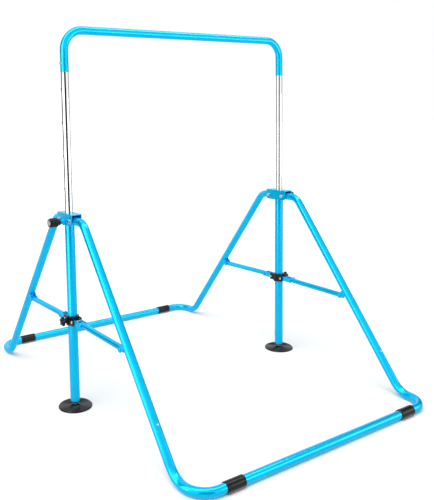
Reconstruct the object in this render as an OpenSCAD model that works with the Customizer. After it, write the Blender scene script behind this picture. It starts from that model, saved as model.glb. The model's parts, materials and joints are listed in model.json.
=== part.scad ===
// Kip bar: a height-adjustable training bar on two posts, with a front and a
// rear floor frame that hinge at the post heads and fold in towards the posts.
// X runs along the bar, -Y is the front, +Z is up. The origin is on the floor,
// midway between the posts. Left is -X and right is +X. Units are millimetres.

/* [Overall] */
bar_axis_height = 1484;      // axis of the gripping bar above the floor, highest setting
half_spacing = 557;          // centre plane to post axis
half_depth = 815;            // post axis to base bar axis

/* [Fits and room, all measured from surface to surface] */
running_fit = 0.05;          // round every pin, bolt, bush, spigot and collar
bolt_room = 0.1;             // round a bolt in a plain plate
hole_room = 0.5;             // round the drawn pin in the upright and round the bar in the head
plate_fit = 0.1;             // post to head plate
bush_side_room = 0.5;        // hinge bush to head plate
ear_fit = 0.8;               // brace to collar ear
lug_fit = 0.4;               // brace to lug
lug_room = 7;                // brace to leg
tip_back = 0.4;              // drawn pin to upright, and stud to post

/* [Bar and uprights] */
bar_r = 16;                  // outside radius of the blue bar and chrome uprights
bar_wall = 2;
bar_bend_r = 78;
bar_drop = 160;              // bar axis down to the lower end of the blue bar
spigot_len = 55;
screw_up = 34;               // lower end of the blue bar up to its screw
screw_r = 2.95;
hole_pitch = 127;
hole_count = 5;
upright_tail = 142;          // lowest hole to the lower end of the upright

/* [Posts and heads] */
bush_wall = 1.15;
bush_len = 44;
post_wall = 1.8;
post_top_z = 781;
foot_gap = 16;               // foot plate to post
plate_t = 3;
plate_half_len = 62;
plate_drop = 43;             // top of the post down to the lower edge of a plate
head_web_t = 3;
pin_drop = 29;               // top of the post down to the height pin
pin_r = 4.5;
pin_travel = 5;
boss_r = 10;
boss_len = 13.9;
knob_r = 18;
knob_len = 46;

/* [Legs] */
hinge_out = 25;              // post down to the hinge bolt, across
hinge_drop = 24;             // top of the post down to the hinge bolt
hinge_r = 5;
hinge_bush_r = 9;
leg_r = 16;
leg_wall = 2;
leg_tail = 14;               // hinge bolt to the inner end of the leg
leg_top_out = 70;            // hinge bolt out to the corner of the top bend
top_bend_r = 60;
seam_z = 135;
leg_spigot_len = 48;
sleeve_wall = 3;
floor_reach = 42;            // corner of the floor bend out to the start of the corner bend
corner_bend_r = 80;
seam_run = 74;               // straight run from the corner bend to the seam
sleeve_in = 20;              // seam to the inner end of its sleeve
sleeve_out = 55;
button_r = 4;

/* [Braces and collars] */
collar_z = 357;
collar_h = 36;
collar_wall = 5.95;
cheek_t = 5;                 // side wall of a collar half
ear_y = 88;                  // post axis to the brace pivot
ear_r = 11;
arm_t = 3;                   // steel arm between a cheek and the brace
arm_start = 2;               // collar to the inner end of an arm
clamp_out = 7;               // collar to the axis of a clamp screw
clamp_screw_r = 3;
stud_r = 4;
brace_r = 11;
brace_wall = 2;
brace_over = 10;             // tube beyond the lug pivot
brace_tip = 7;               // tube beyond the ear pivot
lug_drop = 4;                // ear pivot down to lug pivot
lug_t = 3;
lug_r = 11;
pivot_r = 4;

/* [Feet] */
disc_r = 67.5;
disc_t = 8;
stem_r = 8;
stem_len = 62;

/* [Hidden] */
$fn = 64;
eps = 0.01;
lap = 0.5;                   // how far a straight tube runs into its bend
bend_thin = 0.02;            // a tube draws down this much in a bend

bar_end_z = bar_axis_height - bar_drop;
bar_screw_z = bar_end_z + screw_up;
spigot_r = bar_r - bar_wall - running_fit;
hole_r = pin_r + hole_room;
bush_bore_r = bar_r + running_fit;
post_bore_r = bush_bore_r + bush_wall;
post_r = post_bore_r + post_wall;
post_bottom_z = disc_t + foot_gap;
plate_gap = post_r + plate_fit;                  // post axis to inner face of a head plate
plate_x = plate_gap + plate_t;                   // post axis to outer face
plate_bottom_z = post_top_z - plate_drop;
pin_z = post_top_z - pin_drop;
pin_bore_r = pin_r + running_fit;
pin_tip = bar_r + tip_back;                      // post axis to the tip of the drawn pin
upright_end_z = pin_z - upright_tail;
boss_end = plate_x + boss_len;
hinge_y = post_r + hinge_out;
hinge_z = post_top_z - hinge_drop;
hinge_bore_r = hinge_r + running_fit;
leg_spigot_r = leg_r - leg_wall - running_fit;
sleeve_r = leg_r + sleeve_wall;
base_z = sleeve_r;                               // the sleeves rest on the floor
base_seam_x = half_spacing - corner_bend_r - seam_run;
collar_bore_r = post_r + running_fit;
collar_r = collar_bore_r + collar_wall;
clamp_y = collar_r + clamp_out;
ear_in = brace_r + ear_fit;
arm_x = ear_in + arm_t;                          // post axis to the outer face of an arm
cheek_x = arm_x + cheek_t;
lug_gap = brace_r + lug_fit;
lug_off = leg_r + brace_r + lug_room;            // leg axis to lug pivot
lug_pivot_z = collar_z - lug_drop;
pivot_bore_r = pivot_r + running_fit;
stem_bore_r = stem_r + running_fit;

corner_top_y = hinge_y + leg_top_out;
corner_bot_y = half_depth - corner_bend_r - floor_reach;
leg_slope = (corner_bot_y - corner_top_y) / (hinge_z - base_z);   // outward run for each unit of drop
slope_a = atan(leg_slope);                       // leg lean from vertical
ls = sin(slope_a);
lc = cos(slope_a);
turn = 90 - slope_a;                             // bend angle at top and floor
tan_top = top_bend_r * tan(turn / 2);
tan_bot = floor_reach - lap / 2;
floor_bend_r = tan_bot / tan(turn / 2);

function leg_y(z) = corner_top_y + leg_slope * (hinge_z - z);
seam_y = leg_y(seam_z);
// the foot of the perpendicular from the lug pivot onto the leg axis
lug_base_z = lug_pivot_z + lug_off * ls;
lug_base_y = leg_y(lug_base_z);
lug_y = lug_base_y - lug_off * lc;
lug_z = lug_base_z - lug_off * ls;
brace_len = sqrt(pow(lug_y - ear_y, 2) + pow(lug_z - collar_z, 2));
brace_tilt = atan2(collar_z - lug_z, lug_y - ear_y);

blue = [0.0, 0.55, 0.93];
chrome = [0.86, 0.88, 0.90];
zinc = [0.72, 0.74, 0.76];
black = [0.05, 0.05, 0.06];
white = [0.93, 0.93, 0.91];

// ---- helpers -------------------------------------------------------------

// cylinder along +X from x0 to x1
module xcyl(x0, x1, r, n = 64) { translate([x0, 0, 0]) rotate([0, 90, 0]) cylinder(r = r, h = x1 - x0, $fn = n); }

// an arc of round bar: centre c, unit vectors u (centre to start) and v (the
// way it sets off), bend radius br, bar radius r, and the angle turned
module arc(c, u, v, br, r, a) {
  w = cross(u, v);
  multmatrix([[u[0], v[0], w[0], c[0]], [u[1], v[1], w[1], c[1]], [u[2], v[2], w[2], c[2]], [0, 0, 0, 1]])
    rotate_extrude(angle = a) translate([br, 0]) circle(r = r);
}

// round bar between two points of the plane x = 0, given as [y, z]
module rod(p, q, r) {
  d = q - p;
  translate([0, p[0], p[1]]) rotate([-atan2(d[0], d[1]), 0, 0]) cylinder(r = r, h = norm(d));
}

// places a left, rear piece drawn at the post axis: s = -1 left or 1 right,
// f = 1 rear or -1 front
module at_side(s) { if (s < 0) { translate([-half_spacing, 0, 0]) children(); } else { mirror([1, 0, 0]) translate([-half_spacing, 0, 0]) children(); } }
module at_end(f) { if (f > 0) { children(); } else { mirror([0, 1, 0]) children(); } }

// ---- bar and uprights ----------------------------------------------------

module bar_path(r, over) {
  b = bar_bend_r;
  z = bar_axis_height;
  w = half_spacing;
  translate([-(w - b), 0, z]) rotate([0, 90, 0]) cylinder(r = r, h = 2 * (w - b));
  arc([-(w - b), 0, z - b], [0, 0, 1], [-1, 0, 0], b, r, 90);
  arc([w - b, 0, z - b], [0, 0, 1], [1, 0, 0], b, r, 90);
  for (s = [-1, 1]) translate([s * w, 0, bar_end_z - over]) cylinder(r = r, h = z - b - bar_end_z + over);
}

module top_bar() {
  color(blue) difference() {
    bar_path(bar_r, 0);
    bar_path(bar_r - bar_wall, 1);
    for (s = [-1, 1]) translate([s * half_spacing, 0, bar_screw_z]) xcyl(s < 0 ? -bar_r - 4 : 0, s < 0 ? 0 : bar_r + 4, screw_r + running_fit);
  }
}

module bar_screws() {
  color(zinc) for (s = [-1, 1]) at_side(s) translate([0, 0, bar_screw_z]) {
    difference() {
      union() { xcyl(-bar_r - 2.1, -bar_r, 5.5); xcyl(-bar_r - eps, -bar_r + 3, screw_r); }
      translate([-bar_r - 2.5, -0.6, -4]) cube([1.2, 1.2, 8]);
      translate([-bar_r - 2.5, -4, -0.6]) cube([1.2, 8, 1.2]);
    }
  }
}

module upright(s) {
  color(chrome) at_side(s) difference() {
    union() {
      translate([0, 0, upright_end_z]) cylinder(r = bar_r, h = bar_end_z - upright_end_z);
      translate([0, 0, bar_end_z - eps]) cylinder(r = spigot_r, h = spigot_len + eps);
    }
    translate([0, 0, upright_end_z - 1]) cylinder(r = bar_r - bar_wall, h = bar_end_z - upright_end_z - 19);
    translate([0, 0, upright_end_z]) cylinder(r = spigot_r - bar_wall, h = bar_end_z - upright_end_z + spigot_len + 1);
    for (k = [0 : hole_count - 1]) translate([0, 0, pin_z + k * hole_pitch]) xcyl(-bar_r - 4, 0, hole_r);
    translate([0, 0, bar_screw_z]) xcyl(-bar_r - 4, 0, screw_r + running_fit);
  }
}

// ---- posts and heads -----------------------------------------------------

module post(s) {
  color(blue) at_side(s) difference() {
    translate([0, 0, post_bottom_z]) cylinder(r = post_r, h = post_top_z - post_bottom_z);
    translate([0, 0, post_bottom_z - 1]) cylinder(r = post_bore_r, h = post_top_z - post_bottom_z + 2);
    translate([0, 0, pin_z]) xcyl(-post_r - 5, 0, pin_bore_r);
  }
}

module plate_outline() {
  h = post_top_z - plate_bottom_z + head_web_t;
  difference() {
    translate([-plate_half_len, 0]) square([2 * plate_half_len, h]);
    for (e = [-1, 1]) translate([e * (plate_half_len - 12), 12]) difference() {
      translate([e > 0 ? 0 : -13, -13]) square([13, 13]);
      circle(r = 12);
    }
  }
}

module head_bracket(s) {
  color(blue) at_side(s) difference() {
    union() {
      for (e = [-1, 1]) translate([e > 0 ? plate_gap : -plate_gap - plate_t, 0, plate_bottom_z])
        rotate([90, 0, 90]) linear_extrude(plate_t) plate_outline();
      translate([-plate_gap - 1, -plate_half_len, post_top_z]) cube([2 * plate_gap + 2, 2 * plate_half_len, head_web_t]);
    }
    translate([0, 0, post_top_z - 1]) cylinder(r = bar_r + hole_room, h = head_web_t + 2);
    for (e = [-1, 1]) translate([0, e * hinge_y, hinge_z]) xcyl(-plate_x - 8, plate_x + 8, hinge_r + bolt_room);
    translate([0, 0, pin_z]) xcyl(-plate_x - 8, 0, pin_bore_r);
  }
}

module post_bushes() {
  color(black) for (s = [-1, 1]) at_side(s) difference() {
    translate([0, 0, post_top_z - bush_len]) cylinder(r = post_bore_r, h = bush_len);
    translate([0, 0, post_top_z - bush_len - 1]) cylinder(r = bush_bore_r, h = bush_len + 2);
    translate([0, 0, pin_z]) xcyl(-post_r - 5, 0, pin_bore_r);
  }
}

module pin_bosses() {
  color(blue) for (s = [-1, 1]) at_side(s) translate([0, 0, pin_z]) difference() {
    union() { xcyl(-plate_x - 5, -plate_x, boss_r + 4.5, 6); xcyl(-boss_end, -plate_x - 5 + eps, boss_r); }
    xcyl(-boss_end - 1, 0, pin_bore_r);
  }
}

module pull_pin(s) {
  color(zinc) at_side(s) translate([0, 0, pin_z]) {
    xcyl(-boss_end - pin_travel - 30, -pin_tip - 2, pin_r);
    translate([-pin_tip - 2, 0, 0]) rotate([0, 90, 0]) cylinder(r1 = pin_r, r2 = pin_r - 1.2, h = 2);
  }
}

module height_knob(s) {
  x0 = -boss_end - pin_travel - 0.5;
  color(black) at_side(s) translate([0, 0, pin_z]) difference() {
    union() {
      xcyl(x0 - 8, x0, 12.5);
      translate([x0 - 12, 0, 0]) rotate([0, 90, 0]) cylinder(r1 = knob_r, r2 = 12.5, h = 4);
      xcyl(x0 - knob_len + 3, x0 - 12, knob_r);
      translate([x0 - knob_len, 0, 0]) rotate([0, 90, 0]) cylinder(r1 = knob_r - 3, r2 = knob_r, h = 3);
    }
    for (k = [0 : 11]) rotate([k * 30, 0, 0]) translate([0, knob_r + 1.6, 0]) xcyl(x0 - knob_len + 5, x0 - 13, 3.2, 24);
    xcyl(x0 - knob_len - 1, x0 - knob_len + 1.2, 11);
    xcyl(-boss_end - pin_travel - 30, x0 + 1, pin_r);
  }
}

module hinge_bolts() {
  color(zinc) for (s = [-1, 1]) at_side(s) for (e = [-1, 1]) translate([0, e * hinge_y, hinge_z]) {
    xcyl(-plate_x - eps, plate_x + 10, hinge_r);
    xcyl(-plate_x - 6.4, -plate_x, 1.84 * hinge_r, 6);
  }
}

module hinge_nuts() {
  color(zinc) for (s = [-1, 1]) at_side(s) for (e = [-1, 1]) translate([0, e * hinge_y, hinge_z]) difference() {
    xcyl(plate_x, plate_x + 8, 1.84 * hinge_r, 6);
    xcyl(plate_x - 1, plate_x + 9, hinge_r);
  }
}

module post_plugs() {
  color(black) for (s = [-1, 1]) at_side(s) difference() {
    union() {
      translate([0, 0, post_bottom_z - 3]) cylinder(r = post_r, h = 3);
      translate([0, 0, post_bottom_z - eps]) cylinder(r = post_bore_r, h = 34);
    }
    cylinder(r = stem_bore_r, h = 90);
  }
}

module lock_nuts() {
  color(zinc) for (s = [-1, 1]) at_side(s) difference() {
    translate([0, 0, post_bottom_z - 11]) cylinder(r = 13.9, h = 8, $fn = 6);
    cylinder(r = stem_bore_r, h = 40);
  }
}

// ---- legs, drawn for the left rear --------------------------------------

module upper_path(r, e) {
  a = [hinge_y - leg_tail - e, hinge_z];
  t1 = [corner_top_y - tan_top, hinge_z];
  t2 = [corner_top_y + (tan_top - lap) * ls, hinge_z - (tan_top - lap) * lc];
  q = [seam_y + e * ls, seam_z - e * lc];
  rod(a, [t1[0] + lap, t1[1]], r);
  arc([0, t1[0], hinge_z - top_bend_r], [0, 0, 1], [0, 1, 0], top_bend_r, r - bend_thin, turn);
  rod(t2, q, r);
}

module hinge_bush() { translate([0, hinge_y, hinge_z]) xcyl(-plate_gap + bush_side_room, plate_gap - bush_side_room, hinge_bush_r); }

module leg_upper(s, f) {
  color(blue) at_side(s) at_end(f) difference() {
    union() {
      difference() { upper_path(leg_r, 0); upper_path(leg_r - leg_wall, 1); }
      hinge_bush();
    }
    translate([0, hinge_y, hinge_z]) xcyl(-plate_gap - 1, plate_gap + 1, hinge_bore_r);
    button_place() cylinder(r = button_r, h = 30);
  }
}

// frame at the snap button, its z pointing out of the leg, upwards and outwards
module button_place() {
  z = seam_z + 24 * lc;
  translate([0, leg_y(z), z]) rotate([-turn, 0, 0]) children();
}

module lower_path(r, e) {
  s0 = [seam_y - e * ls, seam_z + e * lc];
  t3 = [corner_bot_y - (tan_bot - lap) * ls, base_z + (tan_bot - lap) * lc];
  t4y = corner_bot_y + tan_bot;
  cy = half_depth - corner_bend_r;
  rod(s0, t3, r);
  arc([0, t4y, base_z + floor_bend_r], [0, 0, -1], [0, -1, 0], floor_bend_r, r - bend_thin, turn);
  translate([0, t4y - lap, base_z]) rotate([-90, 0, 0]) cylinder(r = r, h = cy - t4y + 2 * lap);
  arc([corner_bend_r, cy, base_z], [-1, 0, 0], [0, 1, 0], corner_bend_r, r - bend_thin, 90);
  translate([corner_bend_r - lap, half_depth, base_z]) xcyl(0, half_spacing - base_seam_x - corner_bend_r + lap + e, r);
}

// the swaged end of a lower leg: a thinner tube that goes into the next one.
// Drawn along +Z from the seam, with a short step inside its own tube
module swage() {
  difference() {
    union() {
      translate([0, 0, -6]) cylinder(r = leg_r - leg_wall + 0.6, h = 6);
      translate([0, 0, -eps]) cylinder(r = leg_spigot_r, h = leg_spigot_len + eps);
    }
    translate([0, 0, -7]) cylinder(r = leg_spigot_r - leg_wall, h = leg_spigot_len + 8);
  }
}

module leg_lower(s, f) {
  color(blue) at_side(s) at_end(f) difference() {
    union() {
      difference() { lower_path(leg_r, 0); lower_path(leg_r - leg_wall, 1); }
      translate([0, seam_y, seam_z]) rotate([slope_a, 0, 0]) swage();
      translate([half_spacing - base_seam_x, half_depth, base_z]) rotate([0, 90, 0]) swage();
    }
    button_place() cylinder(r = button_r, h = 30);
  }
}

module snap_buttons(f) {
  color(zinc) for (s = [-1, 1]) at_side(s) at_end(f) button_place() {
    translate([0, 0, leg_spigot_r - leg_wall]) cylinder(r = button_r, h = 5.5);
    translate([0, 0, leg_spigot_r - leg_wall + 5.5 - eps]) cylinder(r1 = button_r, r2 = button_r - 1.4, h = 1.3);
  }
}

module base_bar(f) {
  color(blue) translate([-base_seam_x, f * half_depth, base_z]) difference() {
    xcyl(0, 2 * base_seam_x, leg_r);
    xcyl(-1, 2 * base_seam_x + 1, leg_r - leg_wall);
  }
}

module floor_sleeves(f) {
  color(black) for (s = [-1, 1]) at_side(s) at_end(f) translate([half_spacing - base_seam_x, half_depth, base_z]) difference() {
    union() {
      xcyl(-sleeve_out + 2, sleeve_in - 2, sleeve_r);
      translate([-sleeve_out, 0, 0]) rotate([0, 90, 0]) cylinder(r1 = sleeve_r - 1.2, r2 = sleeve_r, h = 2);
      translate([sleeve_in - 2, 0, 0]) rotate([0, 90, 0]) cylinder(r1 = sleeve_r, r2 = sleeve_r - 1.2, h = 2);
    }
    xcyl(-sleeve_out - 1, sleeve_in + 1, leg_r);
  }
}

module brace_lugs(f) {
  color(blue) for (s = [-1, 1]) at_side(s) at_end(f) difference() {
    for (e = [-1, 1]) translate([e > 0 ? lug_gap : -lug_gap - lug_t, lug_base_y, lug_base_z]) rotate([180 - turn, 0, 0])
      rotate([90, 0, 90]) linear_extrude(lug_t) union() {
        translate([0, lug_off]) circle(r = lug_r);
        translate([-lug_r, leg_r / 4]) square([2 * lug_r, lug_off - leg_r / 4]);
      }
    rod([seam_y, seam_z], [corner_top_y, hinge_z], leg_r);
    translate([0, lug_y, lug_z]) xcyl(-lug_gap - lug_t - 1, lug_gap + lug_t + 1, pivot_r + bolt_room);
  }
}

module lug_bolts(f) {
  x = lug_gap + lug_t;
  color(blue) for (s = [-1, 1]) at_side(s) at_end(f) translate([0, lug_y, lug_z]) {
    xcyl(-x - eps, x + eps, pivot_r);
    xcyl(-x - 4, -x, 1.9 * pivot_r);
    xcyl(x, x + 5, 1.85 * pivot_r, 6);
  }
}

// ---- braces and collars --------------------------------------------------

module brace(s, f) {
  color(blue) at_side(s) at_end(f) translate([0, lug_y, lug_z]) rotate([-brace_tilt, 0, 0]) difference() {
    translate([0, brace_over, 0]) rotate([90, 0, 0]) cylinder(r = brace_r, h = brace_over + brace_len + brace_tip);
    translate([0, brace_over + 1, 0]) rotate([90, 0, 0]) cylinder(r = brace_r - brace_wall, h = brace_over + brace_len + brace_tip + 2);
    xcyl(-brace_r - 4, brace_r + 4, pivot_bore_r);
    translate([0, -brace_len, 0]) xcyl(-brace_r - 4, brace_r + 4, pivot_bore_r);
  }
}

module collar_solid() {
  difference() {
    union() {
      translate([0, 0, -collar_h / 2]) cylinder(r = collar_r, h = collar_h);
      for (e = [-1, 1]) translate([e > 0 ? arm_x : -cheek_x, -clamp_y - 8, 3 - collar_h / 2]) cube([cheek_t, 2 * clamp_y + 16, collar_h - 6]);
      for (e = [-1, 1]) translate([-ear_in, e > 0 ? collar_r - 3 : -clamp_y + clamp_screw_r + 0.5, 3 - collar_h / 2])
        cube([2 * ear_in, clamp_y - clamp_screw_r + 2.5 - collar_r, collar_h - 6]);
      xcyl(-collar_r - 6, -collar_bore_r - 0.95, stud_r + 5.5);
    }
    translate([0, 0, -collar_h]) cylinder(r = collar_bore_r, h = 2 * collar_h);
    for (e = [-1, 1]) translate([0, e * clamp_y, 0]) xcyl(-cheek_x - 1, cheek_x + 1, clamp_screw_r + running_fit);
    xcyl(-collar_r - 7, 0, stud_r + running_fit);
  }
}

// the steel arms that hold the braces, two in front and two behind
module collar_arms(s) {
  color(blue) at_side(s) translate([0, 0, collar_z]) for (f = [-1, 1]) for (e = [-1, 1]) at_end(f)
    difference() {
      translate([e > 0 ? ear_in : -arm_x, 0, 0]) rotate([90, 0, 90]) linear_extrude(arm_t) union() {
        translate([collar_r + arm_start, 1 - ear_r]) square([ear_y - collar_r - arm_start, 2 * ear_r - 2]);
        translate([ear_y, 0]) circle(r = ear_r);
      }
      translate([0, clamp_y, 0]) xcyl(-arm_x - 1, arm_x + 1, clamp_screw_r + running_fit);
      translate([0, ear_y, 0]) xcyl(-arm_x - 1, arm_x + 1, pivot_r + running_fit);
    }
}

module collar_half(s, h) {
  color(black) at_side(s) translate([0, 0, collar_z]) intersection() {
    collar_solid();
    translate([h < 0 ? -60 : 0, -130, -40]) cube([60, 260, 80]);
  }
}

module collar_screws(s) {
  color(zinc) at_side(s) for (e = [-1, 1]) translate([0, e * clamp_y, collar_z]) {
    xcyl(-cheek_x - eps, cheek_x + 5, clamp_screw_r);
    xcyl(-cheek_x - 4, -cheek_x, 2 * clamp_screw_r);
    xcyl(cheek_x, cheek_x + 4.5, 2 * clamp_screw_r, 6);
  }
}

module ear_screws(s) {
  color(blue) at_side(s) for (e = [-1, 1]) translate([0, e * ear_y, collar_z]) {
    xcyl(-arm_x - eps, -ear_in, pivot_r);
    xcyl(-arm_x - 4, -arm_x, pivot_r + 3.5);
    xcyl(ear_in, arm_x + eps, pivot_r);
    xcyl(arm_x, arm_x + 5, 1.85 * pivot_r, 6);
  }
}

module collar_stud(s) {
  color(zinc) at_side(s) translate([0, 0, collar_z]) xcyl(-collar_r - 19, -post_r - tip_back, stud_r);
}

module collar_knob(s) {
  color(black) at_side(s) translate([-collar_r, 0, collar_z]) difference() {
    union() {
      xcyl(-13, -6.5, 8.5);
      xcyl(-25, -13 + eps, 12);
      for (k = [0 : 4]) rotate([k * 72 + 18, 0, 0]) translate([0, 14, 0]) xcyl(-25, -13, 5.6);
      xcyl(-27, -25 + eps, 8);
    }
    xcyl(-19, -5, stud_r);
  }
}

// ---- feet ---------------------------------------------------------------

module foot_disc(s) {
  color(black) at_side(s) difference() {
    union() {
      cylinder(r = disc_r, h = disc_t - 3);
      translate([0, 0, disc_t - 3 - eps]) cylinder(r1 = disc_r, r2 = disc_r - 4, h = 3);
      translate([0, 0, disc_t - eps]) cylinder(r1 = 24, r2 = 13, h = 4);
    }
    translate([0, 0, 3]) cylinder(r = stem_r, h = 30);
  }
}

module foot_stem(s) {
  color(zinc) at_side(s) translate([0, 0, 3]) cylinder(r = stem_r, h = stem_len);
}

// ---- the nodes ----------------------------------------------------------

top_bar();
bar_screws();
upright(-1);  // upright_left
upright(1);  // upright_right
post(-1);  // post_left
post(1);  // post_right
head_bracket(-1);  // head_bracket_left
head_bracket(1);  // head_bracket_right
post_bushes();
pin_bosses();
pull_pin(-1);  // pull_pin_left
pull_pin(1);  // pull_pin_right
height_knob(-1);  // height_knob_left
height_knob(1);  // height_knob_right
hinge_bolts();
hinge_nuts();
post_plugs();
lock_nuts();
leg_upper(-1, -1);  // leg_upper_front_left
leg_upper(1, -1);  // leg_upper_front_right
leg_upper(-1, 1);  // leg_upper_rear_left
leg_upper(1, 1);  // leg_upper_rear_right
leg_lower(-1, -1);  // leg_lower_front_left
leg_lower(1, -1);  // leg_lower_front_right
leg_lower(-1, 1);  // leg_lower_rear_left
leg_lower(1, 1);  // leg_lower_rear_right
snap_buttons(-1);  // snap_buttons_front
snap_buttons(1);  // snap_buttons_rear
base_bar(-1);  // base_bar_front
base_bar(1);  // base_bar_rear
floor_sleeves(-1);  // floor_sleeves_front
floor_sleeves(1);  // floor_sleeves_rear
brace_lugs(-1);  // brace_lugs_front
brace_lugs(1);  // brace_lugs_rear
lug_bolts(-1);  // lug_bolts_front
lug_bolts(1);  // lug_bolts_rear
brace(-1, -1);  // brace_front_left
brace(1, -1);  // brace_front_right
brace(-1, 1);  // brace_rear_left
brace(1, 1);  // brace_rear_right
collar_half(-1, -1);  // collar_outer_left
collar_half(-1, 1);  // collar_inner_left
collar_half(1, -1);  // collar_outer_right
collar_half(1, 1);  // collar_inner_right
collar_arms(-1);  // collar_arms_left
collar_arms(1);  // collar_arms_right
collar_screws(-1);  // collar_screws_left
collar_screws(1);  // collar_screws_right
ear_screws(-1);  // ear_screws_left
ear_screws(1);  // ear_screws_right
collar_knob(-1);  // collar_knob_left
collar_knob(1);  // collar_knob_right
collar_stud(-1);  // collar_stud_left
collar_stud(1);  // collar_stud_right
foot_disc(-1);  // foot_disc_left
foot_disc(1);  // foot_disc_right
foot_stem(-1);  // foot_stem_left
foot_stem(1);  // foot_stem_right
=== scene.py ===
"""Kip bar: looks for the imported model, with turned, moulded and welded details worked out as surfaces.

Lengths are metres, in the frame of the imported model: X along the gripping bar, -Y the front, +Z up.
"""

import logging
import math
from collections.abc import Callable
from dataclasses import dataclass, field
from enum import Enum

import bmesh
import bpy
import numpy as np
from mathutils import Matrix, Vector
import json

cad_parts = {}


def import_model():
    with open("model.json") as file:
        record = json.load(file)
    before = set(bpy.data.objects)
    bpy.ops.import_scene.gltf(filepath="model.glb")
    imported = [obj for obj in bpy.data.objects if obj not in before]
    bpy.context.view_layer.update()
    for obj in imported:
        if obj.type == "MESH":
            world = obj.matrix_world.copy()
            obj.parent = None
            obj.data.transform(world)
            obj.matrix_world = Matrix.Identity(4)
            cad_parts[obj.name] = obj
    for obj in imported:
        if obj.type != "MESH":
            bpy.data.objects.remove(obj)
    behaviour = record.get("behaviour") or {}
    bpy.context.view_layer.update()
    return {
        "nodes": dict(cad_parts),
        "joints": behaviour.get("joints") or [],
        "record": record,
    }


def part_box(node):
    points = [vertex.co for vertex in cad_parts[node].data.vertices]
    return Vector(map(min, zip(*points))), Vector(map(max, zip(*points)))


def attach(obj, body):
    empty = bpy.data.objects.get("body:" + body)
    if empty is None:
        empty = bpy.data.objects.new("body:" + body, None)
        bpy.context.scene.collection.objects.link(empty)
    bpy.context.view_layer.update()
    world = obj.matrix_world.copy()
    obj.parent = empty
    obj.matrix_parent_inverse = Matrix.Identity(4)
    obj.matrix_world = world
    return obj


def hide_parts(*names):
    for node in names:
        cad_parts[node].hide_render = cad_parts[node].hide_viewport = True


LOG = logging.getLogger("kip_bar")
MM = 0.001
FULL_TURN = 2 * math.pi
FADE = 2 * MM  # the length over which flutes and lobes grow
SHARP_ANGLE = math.radians(38)
MERGE_DISTANCE = 1e-6
BEAD_POINTS = 12
BEAD_SWELL = 0.13
SHANK_LIP = 0.5 * MM  # how far a bolt's shank reaches into its head
WASHER_T = 1.4 * MM
SENSOR = 36.0
Shape = Callable[[np.ndarray, np.ndarray, np.ndarray], np.ndarray]
Point = tuple | np.ndarray


class Slot(Enum):
    """The record's material slots."""

    BLUE = "blue_paint"
    CHROME = "chrome_tube"
    ZINC = "zinc_fixings"
    BLACK = "black_plastic"


class Side(Enum):
    """The two posts, by the sign of X."""

    LEFT = -1
    RIGHT = 1

    @property
    def label(self) -> str:
        """The word that the node and body names end in."""
        return self.name.lower()


class End(Enum):
    """The two floor frames, by the sign of Y."""

    FRONT = -1
    REAR = 1

    @property
    def label(self) -> str:
        """The word that the node and body names hold."""
        return self.name.lower()


# ---- shader graphs --------------------------------------------------------


class Wire:
    """One output of a material's node, on which arithmetic adds Math nodes."""

    def __init__(self, graph: "Graph", socket: bpy.types.NodeSocket) -> None:
        """Keeps the graph and the socket."""
        self.graph = graph
        self.socket = socket

    def _math(self, operation: str, first: "Wire | float", second: "Wire | float") -> "Wire":
        """Adds a Math node of that operation on two values."""
        return self.graph.node("ShaderNodeMath", {"operation": operation}, {0: first, 1: second})

    def __add__(self, other: "Wire | float") -> "Wire":
        """self + other."""
        return self._math("ADD", self, other)

    def __radd__(self, other: float) -> "Wire":
        """other + self."""
        return self._math("ADD", other, self)

    def __mul__(self, other: "Wire | float") -> "Wire":
        """self * other."""
        return self._math("MULTIPLY", self, other)

    def __rmul__(self, other: float) -> "Wire":
        """other * self."""
        return self._math("MULTIPLY", other, self)


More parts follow.
